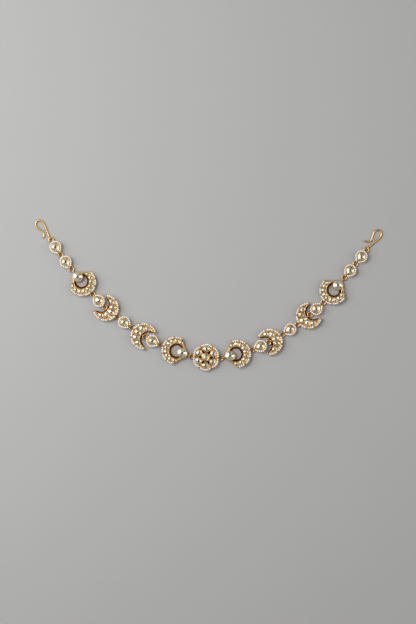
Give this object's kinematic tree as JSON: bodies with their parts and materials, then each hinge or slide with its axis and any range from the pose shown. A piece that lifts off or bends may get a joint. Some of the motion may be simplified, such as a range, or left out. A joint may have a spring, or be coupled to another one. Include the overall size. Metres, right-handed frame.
{
  "type": "forehead chain",
  "caption": "Jointed forehead chain of gold crescents, pear drops and a flower, set with foiled stones, edged with seed pearls and closed by wire hooks.",
  "frame": {"origin": "Under the middle of the chain's outline, on the surface that it lies on.", "axes": "+X runs from the left hook to the right hook as the front shows, +Y from the flower towards the hooks, +Z out of the faces of the stones."},
  "size_m": [0.2502, 0.109, 0.0052],
  "materials": {
    "gold": "warm yellow gold plate, hand finished, with beaded edges",
    "pearls": "ivory seed pearls with a soft lustre, threaded in rows",
    "stones": "clear cut stones over foil, faintly yellow-green"
  },
  "bodies": {
    "root": {"flower_pearls": "pearls", "flower_setting": "gold", "left_first_end_drop_pearls": "pearls", "left_first_end_drop_setting": "gold", "left_hook": "gold", "left_inner_crescent_pearls": "pearls", "left_inner_crescent_setting": "gold", "left_inner_drop_pearls": "pearls", "left_inner_drop_setting": "gold", "left_inner_ring_crescent_pearls": "pearls", "left_inner_ring_crescent_setting": "gold", "left_jump_ring_1": "gold", "left_jump_ring_10": "gold", "left_jump_ring_2": "gold", "left_jump_ring_3": "gold", "left_jump_ring_4": "gold", "left_jump_ring_5": "gold", "left_jump_ring_6": "gold", "left_jump_ring_7": "gold", "left_jump_ring_8": "gold", "left_jump_ring_9": "gold", "left_last_end_drop_pearls": "pearls", "left_last_end_drop_setting": "gold", "left_middle_drop_pearls": "pearls", "left_middle_drop_setting": "gold", "left_outer_crescent_pearls": "pearls", "left_outer_crescent_setting": "gold", "left_outer_drop_pearls": "pearls", "left_outer_drop_setting": "gold", "left_outer_ring_crescent_pearls": "pearls", "left_outer_ring_crescent_setting": "gold", "right_first_end_drop_pearls": "pearls", "right_first_end_drop_setting": "gold", "right_hook": "gold", "right_inner_crescent_pearls": "pearls", "right_inner_crescent_setting": "gold", "right_inner_drop_pearls": "pearls", "right_inner_drop_setting": "gold", "right_inner_ring_crescent_pearls": "pearls", "right_inner_ring_crescent_setting": "gold", "right_jump_ring_1": "gold", "right_jump_ring_10": "gold", "right_jump_ring_2": "gold", "right_jump_ring_3": "gold", "right_jump_ring_4": "gold", "right_jump_ring_5": "gold", "right_jump_ring_6": "gold", "right_jump_ring_7": "gold", "right_jump_ring_8": "gold", "right_jump_ring_9": "gold", "right_last_end_drop_pearls": "pearls", "right_last_end_drop_setting": "gold", "right_middle_drop_pearls": "pearls", "right_middle_drop_setting": "gold", "right_outer_crescent_pearls": "pearls", "right_outer_crescent_setting": "gold", "right_outer_drop_pearls": "pearls", "right_outer_drop_setting": "gold", "right_outer_ring_crescent_pearls": "pearls", "right_outer_ring_crescent_setting": "gold"}
  },
  "joints": []
}
